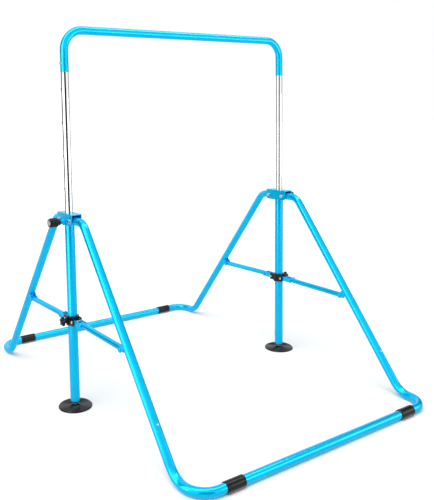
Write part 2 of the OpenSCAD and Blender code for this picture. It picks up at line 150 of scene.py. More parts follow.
class Graph:
    """The node graph of one new material."""

    def __init__(self, name: str) -> None:
        """Makes an empty material with an output and a Principled shader.

        Args:
            name: the material's name.
        """
        self.material = bpy.data.materials.new(name)
        self.material.use_nodes = True
        self.tree = self.material.node_tree
        self.tree.nodes.clear()
        output = self.tree.nodes.new("ShaderNodeOutputMaterial")
        self.shader = self.tree.nodes.new("ShaderNodeBsdfPrincipled")
        self.tree.links.new(self.shader.outputs[0], output.inputs["Surface"])

    def _feed(self, socket: bpy.types.NodeSocket, value: "Wire | float | tuple") -> None:
        """Links a wire to a socket, or sets a number, a colour or a vector on it."""
        if isinstance(value, Wire):
            self.tree.links.new(value.socket, socket)
        elif isinstance(value, tuple) and len(socket.default_value) == len(value) + 1:
            socket.default_value = (*value, 1.0)
        else:
            socket.default_value = value

    def node(
        self, kind: str, settings: dict | None = None, values: dict | None = None, out: int | str = 0
    ) -> Wire:
        """Adds a node: its settings first, then the values or links of its sockets.

        Args:
            kind: Blender's type of node.
            settings: its properties by name.
            values: what each input gets, by its name or number.
            out: the output to hand back.

        Returns:
            The wire that leaves the node.
        """
        made = self.tree.nodes.new(kind)
        for key, setting in (settings or {}).items():
            setattr(made, key, setting)
        for key, value in (values or {}).items():
            self._feed(made.inputs[key], value)
        return Wire(self, made.outputs[out])

    def place(self) -> Wire:
        """Object coordinates, in metres."""
        return self.node("ShaderNodeTexCoord", out="Object")

    def noise(self, scale: float, detail: float = 2.0, stretch: tuple[float, float, float] = (1.0, 1.0, 1.0)) -> Wire:
        """Noise of a given scale per metre on Object coordinates.

        Args:
            scale: cycles in a metre.
            detail: octaves.
            stretch: how much the pattern is scaled along each axis.

        Returns:
            The noise, about 0.2 to 0.8.
        """
        spot = self.node("ShaderNodeMapping", None, {"Vector": self.place(), "Scale": stretch})
        return self.node("ShaderNodeTexNoise", None, {"Vector": spot, "Scale": scale, "Detail": detail})

    def blend(self, amount: Wire, first: tuple | Wire, second: tuple | Wire) -> Wire:
        """Mixes two colours by an amount from 0 to 1."""
        settings = {"data_type": "RGBA", "clamp_factor": True}
        return self.node("ShaderNodeMix", settings, {0: amount, 6: first, 7: second}, out=2)

    def spread(self, value: Wire, low: float, high: float, to_low: float, to_high: float) -> Wire:
        """Maps low..high to to_low..to_high, clamped."""
        return self.node("ShaderNodeMapRange", {"clamp": True}, {0: value, 1: low, 2: high, 3: to_low, 4: to_high})

    def bumped(self, height: Wire, strength: float, distance: float, edge: float = 0.0) -> Wire:
        """A bumped normal, over edges softened by the radius edge.

        Args:
            height: the bump's height, 0 to 1.
            strength: how strongly it shows.
            distance: the height that 1 stands for, in metres.
            edge: the radius of the softened edges, or 0 for none.

        Returns:
            The normal.
        """
        values: dict = {"Height": height, "Strength": strength, "Distance": distance}
        if edge > 0:
            values["Normal"] = self.node("ShaderNodeBevel", {"samples": 4}, {"Radius": edge})
        return self.node("ShaderNodeBump", None, values)

    def finish(self, **sockets: "Wire | float | tuple") -> bpy.types.Material:
        """Sets the shader's sockets, named with _ for a space, and hands back the material."""
        for key, value in sockets.items():
            self._feed(self.shader.inputs[key.replace("_", " ")], value)
        return self.material


# ---- finishes -------------------------------------------------------------


@dataclass(frozen=True)
class PowderCoat:
    """Gloss powder coat over steel: fine orange peel, slight colour drift and a clear top."""

    name: str = "powder_coat_blue"
    colour: tuple[float, float, float] = (0.0, 0.60, 0.99)
    thin_colour: tuple[float, float, float] = (0.0, 0.55, 0.98)
    tint: tuple[float, float, float] = (0.05, 0.8, 1.0)
    metallic: float = 0.62
    roughness: float = 0.21
    peel_scale: float = 420.0
    edge: float = 0.5 * MM

    def material(self) -> bpy.types.Material:
        """Builds the coat: base colour drifts over decimetres, and the peel is noise in the bump."""
        graph = Graph(self.name)
        drift = graph.spread(graph.noise(9.0, 3.0), 0.35, 0.65, 0.0, 1.0)
        peel = graph.noise(self.peel_scale, 1.5)
        scuff = graph.spread(graph.noise(55.0, 4.0), 0.42, 0.72, 0.0, 0.06)
        return graph.finish(
            Base_Color=graph.blend(drift, self.thin_colour, self.colour),
            Metallic=self.metallic,
            Roughness=self.roughness + scuff,
            Specular_Tint=self.tint,
            Coat_Weight=0.25,
            Coat_Roughness=0.08,
            Coat_Tint=(0.85, 1.0, 1.0),
            Normal=graph.bumped(peel, 0.035, 0.1 * MM, self.edge),
        )


@dataclass(frozen=True)
class MirrorChrome:
    """Bright chrome plate on drawn tube, with faint drawing lines and finger marks."""

    name: str = "chrome_plate"
    colour: tuple[float, float, float] = (0.97, 0.975, 0.98)

    def material(self) -> bpy.types.Material:
        """Builds the plate: lines run along Z as noise stretched along it."""
        graph = Graph(self.name)
        drawn = graph.noise(900.0, 2.0, (1.0, 1.0, 0.02))
        marks = graph.spread(graph.noise(38.0, 4.0), 0.45, 0.75, 0.0, 0.05)
        return graph.finish(
            Base_Color=graph.blend(marks * 3.0, self.colour, (0.84, 0.86, 0.89)),
            Metallic=1.0,
            Roughness=0.02 + marks,
            Normal=graph.bumped(drawn, 0.03, 0.05 * MM, 0.3 * MM),
        )


@dataclass(frozen=True)
class ZincPlate:
    """Pale zinc plate on bolts and pins: soft mottling and turned marks."""

    name: str = "zinc_plate"
    colour: tuple[float, float, float] = (0.74, 0.75, 0.76)
    dull: tuple[float, float, float] = (0.56, 0.57, 0.58)

    def material(self) -> bpy.types.Material:
        """Builds the plate: two noises mottle its colour and roughness."""
        graph = Graph(self.name)
        mottle = graph.spread(graph.noise(320.0, 4.0), 0.38, 0.68, 0.0, 1.0)
        turned = graph.noise(2200.0, 2.0, (0.2, 1.0, 1.0))
        return graph.finish(
            Base_Color=graph.blend(mottle, self.colour, self.dull),
            Metallic=0.95,
            Roughness=0.24 + 0.16 * mottle,
            Normal=graph.bumped(turned, 0.16, 0.05 * MM, 0.35 * MM),
        )


@dataclass(frozen=True)
class MouldedPlastic:
    """Black moulded plastic with a fine spark-eroded grain and rubbed, shinier high spots."""

    name: str = "moulded_black"
    colour: tuple[float, float, float] = (0.004, 0.004, 0.0045)
    dusty: tuple[float, float, float] = (0.007, 0.007, 0.0068)
    roughness: float = 0.14
    grain_scale: float = 1500.0
    grain_depth: float = 0.3

    def material(self) -> bpy.types.Material:
        """Builds the plastic: grain from a fine noise, rub and dust from coarser ones."""
        graph = Graph(self.name)
        rub = graph.spread(graph.noise(70.0, 4.0), 0.35, 0.7, 0.0, 1.0)
        grain = graph.noise(self.grain_scale, 3.0)
        return graph.finish(
            Base_Color=graph.blend(rub, self.colour, self.dusty),
            Roughness=self.roughness + 0.1 * rub,
            Specular_IOR_Level=0.32,
            Normal=graph.bumped(grain, self.grain_depth, 0.06 * MM, 0.5 * MM),
        )


@dataclass(frozen=True)
class PaleFloor:
    """A plain pale studio floor."""

    name: str = "pale_floor"
    colour: tuple[float, float, float] = (0.93, 0.93, 0.93)

    def material(self) -> bpy.types.Material:
        """Builds the floor: matt, with the slightest drift in its tone."""
        graph = Graph(self.name)
        drift = graph.spread(graph.noise(1.5, 2.0), 0.3, 0.7, 0.0, 1.0)
        near = tuple(0.985 * c for c in self.colour)
        return graph.finish(Base_Color=graph.blend(drift, near, self.colour), Roughness=0.9, Specular_IOR_Level=0.0)


# ---- surfaces -------------------------------------------------------------


@dataclass(frozen=True)
class Place:
    """A local frame: an origin, an axis, and two directions across it."""

    origin: np.ndarray
    axis: np.ndarray
    across: np.ndarray
    up: np.ndarray

    @staticmethod
    def along(origin: Point, axis: Point, hint: Point = (0.0, 0.0, 1.0)) -> "Place":
        """A frame with its axis in a given direction, and across nearest to hint.

        Args:
            origin: where it stands.
            axis: the direction of its axis.
            hint: a direction that isn't along the axis.

        Returns:
            The frame, with unit directions.
        """
        a, h = np.asarray(axis, float), np.asarray(hint, float)
        a = a / np.linalg.norm(a)
        c = h - (h @ a) * a
        c = c / np.linalg.norm(c)
        return Place(np.asarray(origin, float), a, c, np.cross(a, c))

    @staticmethod
    def upright(origin: Point) -> "Place":
        """A frame with its axis up and across along X."""
        return Place.along(origin, (0, 0, 1), (1, 0, 0))

    @staticmethod
    def outward(side: Side, origin: Point) -> "Place":
        """A frame with its axis away from the middle of the bar."""
        return Place.along(origin, (side.value, 0, 0))

    @staticmethod
    def inward(side: Side, origin: Point) -> "Place":
        """A frame with its axis towards the middle of the bar."""
        return Place.along(origin, (-side.value, 0, 0))


@dataclass(frozen=True)
class Patch:
    """A grid of points that becomes a sheet of a mesh."""

    points: np.ndarray
    wrap_rows: bool = False
    wrap_columns: bool = True

    def faces(self) -> np.ndarray:
        """The grid's quads, as indices, with the last row or column joined to the first where it wraps."""
        rows, columns = self.points.shape[:2]
        index = np.arange(rows * columns).reshape(rows, columns)
        if self.wrap_rows:
            index = np.vstack([index, index[:1]])
        if self.wrap_columns:
            index = np.hstack([index, index[:, :1]])
        corners = [index[:-1, :-1], index[:-1, 1:], index[1:, 1:], index[1:, :-1]]
        return np.stack(corners, axis=-1).reshape(-1, 4)


def turned(
    place: Place, profile: np.ndarray, steps: int = 48, shape: Shape | None = None, ring: bool = False
) -> Patch:
    """A turned shape: origin + along * axis + radius * (cos(angle) * across + sin(angle) * up).

    Args:
        place: the local frame.
        profile: (along, radius) pairs; a radius of 0 is a closed pole.
        steps: points round.
        shape: changes the radius as a function of angle, along and radius.
        ring: the profile is itself a closed loop, as on a sleeve.

    Returns:
        The surface.
    """
    rows = np.asarray(profile, float)
    along, radius = rows[:, 0:1], rows[:, 1:2]
    angle = np.linspace(0.0, FULL_TURN, steps, endpoint=False)[None, :]
    if shape is not None:
        radius = np.where(radius > 0, shape(angle, along, radius), 0.0)
    radius = radius * np.ones_like(angle)
    spoke = np.cos(angle)[..., None] * place.across + np.sin(angle)[..., None] * place.up
    points = place.origin + along[..., None] * place.axis + radius[..., None] * spoke
    return Patch(points, wrap_rows=ring)


def eased(
    corners: list[tuple[float, float]], cut: float = 0.8 * MM, steps: int = 4, ring: bool = False
) -> np.ndarray:
    """Rounds a profile: each corner becomes (1-t)^2 * before + 2t(1-t) * corner + t^2 * after.

    Args:
        corners: the (along, radius) corners.
        cut: how far from a corner its curve starts, at most 0.4 of the edge.
        steps: points on each curve.
        ring: the profile is a closed loop; otherwise its two ends stay.

    Returns:
        The rounded profile.
    """
    p = np.asarray(corners, float)

    def toward(q: np.ndarray) -> np.ndarray:
        """The point on each edge where a corner's curve starts or ends."""
        step = q - p
        length = np.linalg.norm(step, axis=1, keepdims=True)
        return p + step * np.minimum(cut / np.maximum(length, 1e-9), 0.4)

    before, after = toward(np.roll(p, 1, 0)), toward(np.roll(p, -1, 0))
    t = np.linspace(0.0, 1.0, steps)[None, :, None]
    curve = (1 - t) ** 2 * before[:, None] + 2 * t * (1 - t) * p[:, None] + t**2 * after[:, None]
    if ring:
        return curve.reshape(-1, 2)
    return np.concatenate([p[:1], curve[1:-1].reshape(-1, 2), p[-1:]])


def hexed(radius: float) -> Shape:
    """Cuts a turned shape to a hexagon: the lesser of the radius and R cos 30 / cos(angle mod 60 - 30)."""

    def shape(angle: np.ndarray, _along: np.ndarray, own: np.ndarray) -> np.ndarray:
        """The hexagon's reach in each direction, or the chamfer's where that is less."""
        flat = radius * math.cos(math.pi / 6) / np.cos(np.mod(angle, math.pi / 3) - math.pi / 6)
        return np.minimum(own, flat)

    return shape


def fluted(count: int, depth: float, start: float, stop: float, sharp: float = 2.0) -> Shape:
    """Grooves along a turned shape: radius - depth * window(along) * (half + half cos(count angle))^sharp."""

    def shape(angle: np.ndarray, along: np.ndarray, own: np.ndarray) -> np.ndarray:
        """The radius less the groove, which fades in and out at its two ends."""
        rise = np.clip((along - start) / FADE, 0, 1) * np.clip((stop - along) / FADE, 0, 1)
        return own - depth * rise * (0.5 + 0.5 * np.cos(count * angle)) ** sharp

    return shape


def lobed(count: int, share: float, start: float) -> Shape:
    """Lobes on a turned shape: radius * (1 + share * cos(count angle)) past start, smoothly."""

    def shape(angle: np.ndarray, along: np.ndarray, own: np.ndarray) -> np.ndarray:
        """The radius with its lobes, which grow from start on."""
        grown = np.clip((along - start) / FADE, 0, 1)
        return own * (1 + share * grown * np.cos(count * angle))

    return shape


def threaded(pitch: float, depth: float) -> Shape:
    """A screw thread: radius - depth * |2 frac(along / pitch - angle / turn) - 1|."""

    def shape(angle: np.ndarray, along: np.ndarray, own: np.ndarray) -> np.ndarray:
        """The radius less the thread's V."""
        phase = np.mod(along / pitch - angle / FULL_TURN, 1.0)
        return own - depth * np.abs(2 * phase - 1)

    return shape


def bead(path: np.ndarray, lean: tuple, radius: float, ripple: float = 2.4 * MM, ring: bool = False) -> Patch:
    """A weld bead: a circle carried along a path, of radius * (1 + swell * sin(turn * length / ripple)).

    Args:
        path: (n, 3) points.
        lean: a direction that is never along the path.
        radius: the bead's mean radius, which tapers to nothing at open ends.
        ripple: the length of one ripple.
        ring: the path is closed.

    Returns:
        The surface.
    """
    steps = np.roll(path, -1, 0) - np.roll(path, 1, 0) if ring else np.gradient(path, axis=0)
    tangent = steps / np.linalg.norm(steps, axis=1, keepdims=True)
    side = np.cross(tangent, np.asarray(lean, float))
    side = side / np.linalg.norm(side, axis=1, keepdims=True)
    out = np.cross(side, tangent)
    run = np.concatenate([[0.0], np.cumsum(np.linalg.norm(np.diff(path, axis=0), axis=1))])
    size = radius * (1 + BEAD_SWELL * np.sin(FULL_TURN * run / ripple))
    if not ring:
        near = np.minimum(run, run[-1] - run) / (2 * radius)
        size = size * np.sqrt(np.clip(1 - (1 - np.clip(near, 0, 1)) ** 2, 0, 1))
    angle = np.linspace(0.0, FULL_TURN, BEAD_POINTS, endpoint=False)
    offset = np.cos(angle)[None, :, None] * side[:, None] + np.sin(angle)[None, :, None] * out[:, None]
    return Patch(path[:, None] + size[:, None, None] * offset, wrap_rows=ring)


def straight(start: np.ndarray, stop: np.ndarray, step: float = 0.6 * MM) -> np.ndarray:
    """Points on a line: start + t * (stop - start)."""
    count = max(8, int(np.linalg.norm(stop - start) / step))
    return start + np.linspace(0.0, 1.0, count)[:, None] * (stop - start)


def circle(place: Place, radius: float, step: float = 0.6 * MM) -> np.ndarray:
    """Points round a place's axis: origin + radius * (cos * across + sin * up)."""
    count = max(24, int(FULL_TURN * radius / step))
    angle = np.linspace(0.0, FULL_TURN, count, endpoint=False)[:, None]
    return place.origin + radius * (np.cos(angle) * place.across + np.sin(angle) * place.up)


# ---- pieces ---------------------------------------------------------------


@dataclass(frozen=True)
class Paints:
    """The finished materials, by slot."""

    blue: bpy.types.Material
    chrome: bpy.types.Material
    zinc: bpy.types.Material
    black: bpy.types.Material

    @staticmethod
    def mixed() -> "Paints":
        """Builds every finish once."""
        return Paints(
            PowderCoat().material(), MirrorChrome().material(), ZincPlate().material(), MouldedPlastic().material()
        )

    def of(self, slot: Slot) -> bpy.types.Material:
        """The material of a slot."""
        return {Slot.BLUE: self.blue, Slot.CHROME: self.chrome, Slot.ZINC: self.zinc, Slot.BLACK: self.black}[slot]


def make_piece(
    name: str, patches: list[Patch], paints: Paints, slot: Slot, body: str, stands_for: tuple[str, ...] = ()
) -> bpy.types.Object:
    """Makes one mesh object of closed surfaces, dressed and riding on its body.

    Args:
        name: the piece's name.
        patches: its surfaces.
        paints: the finished materials.
        slot: which finish it has.
        body: the CAD body that it moves with.
        stands_for: the CAD nodes that it replaces.

    Returns:
        The object.
    """
    work = bmesh.new()
    sheet = bpy.data.meshes.new(f"{name}_sheet")
    for patch in patches:
        first = len(work.verts)
        sheet.clear_geometry()
        sheet.from_pydata(patch.points.reshape(-1, 3), [], patch.faces().tolist())
        work.from_mesh(sheet)
        work.verts.ensure_lookup_table()
        bmesh.ops.remove_doubles(work, verts=work.verts[first:], dist=MERGE_DISTANCE)
    bmesh.ops.recalc_face_normals(work, faces=work.faces)
    mesh = bpy.data.meshes.new(name)
    work.to_mesh(mesh)
    work.free()
    bpy.data.meshes.remove(sheet)
    mesh.polygons.foreach_set("use_smooth", np.ones(len(mesh.polygons), bool))
    mesh.set_sharp_from_angle(angle=SHARP_ANGLE)
    mesh.materials.append(paints.of(slot))
    piece = bpy.data.objects.new(name, mesh)
    bpy.context.scene.collection.objects.link(piece)
    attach(piece, body)
    if stands_for:
        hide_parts(*stands_for)
    LOG.info("%s: %d faces on %s", name, len(mesh.polygons), body)
    return piece


def hex_head(place: Place, radius: float, height: float) -> Patch:
    """A chamfered hexagon head or nut, from the place outwards, with corners at radius."""
    base = [(0, 0), (0, 0.9 * radius), (0.1 * height, radius)]
    crown = [(0.8 * height, radius), (height, 0.84 * radius), (height, 0)]
    return turned(place, eased(base + crown, 0.3 * MM, 3), 72, hexed(radius))


def shank(place: Place, depth: float, radius: float, steps: int = 32) -> Patch:
    """A plain rod from a depth behind the place to just past it, inside a head."""
    profile = [(-depth, 0), (-depth, radius), (SHANK_LIP, radius), (SHANK_LIP, 0)]
    return turned(place, np.array(profile), steps)


def washer(place: Place, bore: float, radius: float, thick: float) -> Patch:
    """A flat washer round the axis, from the place outwards."""
    loop = [(0, bore), (0, radius), (thick, radius), (thick, bore)]
    return turned(place, eased(loop, 0.25 * MM, 3, ring=True), 48, ring=True)


def domed_head(place: Place, radius: float, height: float, socket: float) -> Patch:
    """A domed head: from a low rim its top rises as a quarter ellipse to the edge of a socket pit."""
    lift = np.linspace(0.0, 1.0, 10)
    rim = socket / radius
    reach = rim + (1 - rim) * np.cos(lift * math.pi / 2)
    dome = np.stack([0.25 * height + 0.75 * height * np.sin(lift * math.pi / 2), radius * reach], axis=1)
    pit = np.array([(height, socket), (0.45 * height, 0.94 * socket), (0.38 * height, 0.0)])
    return turned(place, np.concatenate([[(0, 0), (0, radius)], dome, pit[1:]]), 48)


def thread_end(place: Place, radius: float, start: float, stop: float, pitch: float = 1.25 * MM) -> Patch:
    """A threaded rod between two heights along the place's axis, with a chamfered tip."""
    rows = np.arange(start, stop - pitch / 2, pitch / 8)
    body = np.stack([rows, np.full_like(rows, radius)], axis=1)
    ends = [(start, 0.0)], body, [(stop - 0.2 * pitch, 0.9 * radius), (stop, 0.8 * radius), (stop, 0.0)]
    return turned(place, np.concatenate(ends), 40, threaded(pitch, 0.55 * pitch))


@dataclass
class Frame:
    """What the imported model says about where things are."""

    joints: dict[str, dict] = field(default_factory=dict)

    def pivot(self, joint: str) -> np.ndarray:
        """A joint's point."""
        return np.array(self.joints[joint]["pos_m"], float)

    @staticmethod
    def post_x(side: Side) -> float:
        """The post's axis, from its box."""
        low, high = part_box(f"post_{side.label}")
        return (low.x + high.x) / 2

    @staticmethod
    def middle(node: str) -> np.ndarray:
        """The middle of a node's box."""
        low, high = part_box(node)
        return np.array((low + high) / 2)


@dataclass
class Head:
    """A post head: its hinge bolts, height pin, pull knob and welds."""

    side: Side
    frame: Frame
    paints: Paints
    plate_x: float = 22.1 * MM
    bolt_r: float = 5.0 * MM
    bolt_head_r: float = 9.2 * MM
    knob_r: float = 18.0 * MM
    flutes: int = 12
    flute_depth: float = 2.1 * MM
    boss_r: float = 10.0 * MM

    def hinge_set(self) -> tuple[list[Patch], list[Patch]]:
        """The heads with washers outside, and the nuts with thread ends inside, of this head's two hinge bolts."""
        x = self.frame.post_x(self.side)
        heads, nuts = [], []
        for end in End:
            spot = self.frame.pivot(f"fold_{end.label}")
            out = Place.outward(self.side, (x + self.side.value * self.plate_x, spot[1], spot[2]))
            heads += [washer(out, self.bolt_r, 1.14 * self.bolt_head_r, WASHER_T)]
            top = Place.outward(self.side, out.origin + WASHER_T * out.axis)
            heads += [hex_head(top, self.bolt_head_r, 5.0 * MM), shank(out, 2 * self.plate_x, self.bolt_r)]
            into = Place.inward(self.side, (x - self.side.value * self.plate_x, spot[1], spot[2]))
            nuts += [hex_head(into, self.bolt_head_r, 7.6 * MM), thread_end(into, self.bolt_r, 6.5 * MM, 10 * MM)]
        return heads, nuts

    def knob(self) -> None:
        """The fluted pull knob, with a pale cap in its outer face."""
        label = self.side.label
        low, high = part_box(f"height_knob_{label}")
        inner = high.x if self.side is Side.LEFT else low.x
        centre = self.frame.middle(f"height_knob_{label}")
        spot = Place.outward(self.side, (inner, centre[1], centre[2]))
        length, r = high.x - low.x, self.knob_r
        skirt = [(0, 0), (0, 11 * MM), (1.2 * MM, 12.5 * MM), (7 * MM, 12.5 * MM), (12 * MM, r - 0.5 * MM)]
        grip = [(15 * MM, r), (length - 9 * MM, r), (length - 2 * MM, r - 1.6 * MM), (length, r - 3.6 * MM)]
        face = [(length, 12.5 * MM), (length - 1.4 * MM, 12 * MM), (length - 1.4 * MM, 0)]
        fine = eased(skirt + grip + face, 1.6 * MM, 6)
        shape = fluted(self.flutes, self.flute_depth, 12 * MM, length - 0.5 * MM, 3.0)
        knob = [turned(spot, self.thicken(fine, 24), 144, shape)]
        body = f"height_pin_{label}"
        make_piece(f"pull_knob_{label}", knob, self.paints, Slot.BLACK, body, (f"height_knob_{label}",))
        rim, well = length - 0.3 * MM, length - 1.2 * MM
        cap = [(length - 2 * MM, 0), (length - 2 * MM, 11.2 * MM), (length - 0.5 * MM, 11.2 * MM), (rim, 9.8 * MM)]
        dish = [(rim, 6.2 * MM), (well, 5.6 * MM), (well, 0)]
        make_piece(f"knob_cap_{label}", [turned(spot, eased(cap + dish, 0.4 * MM, 4))], self.paints, Slot.ZINC, body)

    @staticmethod
    def thicken(rows: np.ndarray, count: int) -> np.ndarray:
        """Adds rows to the longest edge of a profile: its start + t * (stop - start)."""
        gap = np.linalg.norm(np.diff(rows, axis=0), axis=1)
        k = int(np.argmax(gap * (rows[:-1, 1] > 0) * (rows[1:, 1] > 0)))
        t = np.linspace(0.0, 1.0, count + 2)[1:-1, None]
        return np.concatenate([rows[: k + 1], rows[k] + t * (rows[k + 1] - rows[k]), rows[k + 1 :]])

    def welds(self) -> None:
        """Beads up both sides of the post at each plate, round the boss, and along the top web."""
        x = self.frame.post_x(self.side)
        low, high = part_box(f"head_bracket_{self.side.label}")
        beads = []
        for face in (-1, 1):
            for edge in (-1, 1):
                spot = np.array([x + face * 17.9 * MM, edge * 8.6 * MM, 0.0])
                run = straight(spot + (0, 0, low.z + 2 * MM), spot + (0, 0, high.z - 4 * MM))
                beads.append(bead(run, (1, 0, 0), 1.9 * MM))
                line = np.array([x + face * 18.9 * MM, 0.0, high.z - 3.1 * MM])
                fore, aft = line + (0, edge * 22 * MM, 0), line + (0, edge * (high.y - 4 * MM), 0)
                beads.append(bead(straight(fore, aft), (0, 0, 1), 1.4 * MM))
        pin = self.frame.middle(f"pull_pin_{self.side.label}")
        flange = Place.outward(self.side, (x + self.side.value * (self.plate_x + 5 * MM), pin[1], pin[2]))
        beads.append(bead(circle(flange, self.boss_r + 0.3 * MM), (1, 0, 0), 1.3 * MM, ring=True))
        make_piece(f"head_welds_{self.side.label}", beads, self.paints, Slot.BLUE, "posts")

    def build(self) -> tuple[list[Patch], list[Patch]]:
        """Builds the knob and welds, and hands back the hinge heads and nuts, which are one piece for both sides."""
        self.knob()
        self.welds()
        return self.hinge_set()


@dataclass
class LegFrame:
    """One floor frame: bush and lug welds, lug bolts, leg plugs, buttons, seam lips and sleeves."""

    end: End
    frame: Frame
    paints: Paints
    top_out: float = 70.0 * MM
    slope: float = 579.0 / 738.0
    leg_r: float = 16.0 * MM
    lug_gap: float = 11.4 * MM
    lug_t: float = 3.0 * MM
    lug_r: float = 11.0 * MM
    lug_off: float = 34.0 * MM
    pivot_r: float = 4.0 * MM
    tail: float = 14.0 * MM
    sleeve_wall: float = 3.0 * MM
    sleeve_len: float = 75.0 * MM
    seam_z: float = 135.0 * MM
    bush_r: float = 9.2 * MM
    button_r: float = 3.95 * MM
    button_up: float = 24.0 * MM
    button_tops: tuple[float, float] = (17.5 * MM, 18.7 * MM)

    def down(self) -> np.ndarray:
        """The direction of a leg, down and outwards."""
        run = np.array([0.0, self.end.value * self.slope, -1.0])
        return run / np.linalg.norm(run)

    def on_leg(self, side: Side, z: float) -> np.ndarray:
        """The point of a leg's axis at a height."""
        hinge = self.frame.pivot(f"fold_{self.end.label}")
        y = abs(hinge[1]) + self.top_out + self.slope * (hinge[2] - z)
        return np.array([self.frame.post_x(side), self.end.value * y, z])

    def lug_bolts(self, side: Side) -> list[Patch]:
        """A domed head on a shank outside, and a nut with a thread end inside."""
        spot = self.frame.pivot(f"brace_{self.end.label}_{side.label}_pivot")
        reach = (self.lug_gap + self.lug_t) * np.array([side.value, 0.0, 0.0])
        out, into = Place.outward(side, spot + reach), Place.inward(side, spot - reach)
        return [
            shank(out, 2 * (self.lug_gap + self.lug_t), self.pivot_r),
            domed_head(out, 1.9 * self.pivot_r, 3.9 * MM, 2.4 * MM),
            hex_head(into, 1.85 * self.pivot_r, 4.4 * MM),
            thread_end(into, self.pivot_r * 0.98, 3.8 * MM, 5.0 * MM, 1.0 * MM),
        ]

    def lug_welds(self, side: Side) -> list[Patch]:
        """Beads where each lug plate meets the leg."""
        pivot = self.frame.pivot(f"brace_{self.end.label}_{side.label}_pivot")
        along = self.down()
        toward = np.array([0.0, along[2] * self.end.value, -abs(along[1])])
        base = pivot - self.lug_off * toward / np.linalg.norm(toward)
        beads = []
        for face in (-1, 1):
            for skin in (self.lug_gap - 0.2 * MM, self.lug_gap + self.lug_t + 0.1 * MM):
                lift = math.sqrt(max(self.leg_r**2 - skin**2, 0.0))
                foot = base + np.array([face * skin, 0, 0]) + lift * toward
                beads.append(bead(straight(foot - 12 * MM * along, foot + 12 * MM * along), (1, 0, 0), 1.2 * MM))
        return beads

    def bush_welds(self, side: Side) -> list[Patch]:
        """Beads where the hinge bush comes out of the leg on each side."""
        hinge = self.frame.pivot(f"fold_{self.end.label}")
        x = self.frame.post_x(side)
        ring_r = self.bush_r
        beads = []
        for face in (-1, 1):
            angle = np.linspace(0.0, FULL_TURN, 96, endpoint=False)
            z = ring_r * np.sin(angle)
            reach = np.sqrt(self.leg_r**2 - z**2)
            path = np.stack([x + face * (reach + 0.1 * MM), hinge[1] + ring_r * np.cos(angle), hinge[2] + z], axis=1)
            beads.append(bead(path, (1, 0, 0), 1.3 * MM, ring=True))
        return beads

    def plug(self, side: Side) -> Patch:
        """The ribbed plug in a leg's inner end."""
        hinge = self.frame.pivot(f"fold_{self.end.label}")
        start = (self.frame.post_x(side), hinge[1] - self.end.value * self.tail, hinge[2])
        place = Place.along(start, (0, -self.end.value, 0))
        stub = [(-12 * MM, 0), (-12 * MM, 13.4 * MM), (0, 13.6 * MM)]
        cap = [(0, 15.7 * MM), (1.6 * MM, 15.4 * MM), (2.4 * MM, 9 * MM), (2.6 * MM, 0)]
        return turned(place, eased(stub + cap, 0.8 * MM, 4), 64)

    def button(self, side: Side) -> Patch:
        """A snap button: a short pin with a domed end, square to the leg, as tall as its box allows."""
        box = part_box(f"snap_buttons_{self.end.label}")
        along = self.down()
        out = np.array([0.0, self.end.value * -along[2], abs(along[1])])
        base = self.on_leg(side, self.seam_z + self.button_up * -along[2])
        place = Place(base, out, np.array([1.0, 0, 0]), np.cross(out, [1.0, 0, 0]))
        top = (box[1].z - base[2]) / out[2] - 4 * MM * abs(along[2]) / out[2]
        top = min(max(top, self.button_tops[0]), self.button_tops[1])
        lift = np.linspace(0, 1, 8) * math.pi / 2
        skin = self.leg_r - 0.1 * MM
        dome = np.stack([skin + (top - skin) * np.sin(lift), self.button_r * np.cos(lift)], axis=1)
        return turned(place, np.concatenate([[(12 * MM, 0), (12 * MM, self.button_r)], dome]), 32)

    def seam_lip(self, side: Side) -> Patch:
        """The slightly flared lip of the upper leg at the seam."""
        place = Place.along(self.on_leg(side, self.seam_z), self.down(), (1, 0, 0))
        r = self.leg_r
        inside = r - 0.3 * MM
        loop = [(-6 * MM, inside), (-5 * MM, r + 0.02 * MM), (-1 * MM, r + 0.45 * MM)]
        loop += [(0, r + 0.35 * MM), (0, inside)]
        return turned(place, eased(loop, 0.5 * MM, 4, ring=True), 64, ring=True)

    def sleeve(self, side: Side) -> Patch:
        """A floor sleeve: a turned ring with rounded mouths and two grip grooves."""
        low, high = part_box(f"floor_sleeves_{self.end.label}")
        start = high.x if side is Side.RIGHT else low.x
        origin = (start, (low.y + high.y) / 2, (low.z + high.z) / 2)
        place = Place.inward(side, origin)
        r, b, n = self.leg_r + self.sleeve_wall, self.leg_r + 0.02 * MM, self.sleeve_len
        groove = 0.7 * MM
        outer = [(0, r - 1.2 * MM), (1.6 * MM, r), (7 * MM, r), (8 * MM, r - groove), (9 * MM, r), (n - 9 * MM, r)]
        outer += [(n - 8 * MM, r - groove), (n - 7 * MM, r), (n - 1.6 * MM, r), (n, r - 1.2 * MM), (n, b), (0, b)]
        return turned(place, eased(outer, 0.8 * MM, 5, ring=True), 96, ring=True)

    def build(self) -> None:
        """Makes the frame's pieces."""
        body, name = f"frame_{self.end.label}", self.end.label
        blue = [p for side in Side for p in self.lug_welds(side) + self.bush_welds(side) + [self.seam_lip(side)]]
        make_piece(f"leg_welds_{name}", blue, self.paints, Slot.BLUE, body)
        bolts = [p for side in Side for p in self.lug_bolts(side)]
        make_piece(f"lug_fixings_{name}", bolts, self.paints, Slot.BLUE, body, (f"lug_bolts_{name}",))
        buttons = [self.button(side) for side in Side]
        make_piece(f"leg_buttons_{name}", buttons, self.paints, Slot.ZINC, body, (f"snap_buttons_{name}",))
        sleeves = [self.sleeve(side) for side in Side]
        make_piece(f"floor_sleeve_{name}", sleeves, self.paints, Slot.BLACK, body, (f"floor_sleeves_{name}",))
        make_piece(f"leg_plugs_{name}", [self.plug(side) for side in Side], self.paints, Slot.BLACK, body)


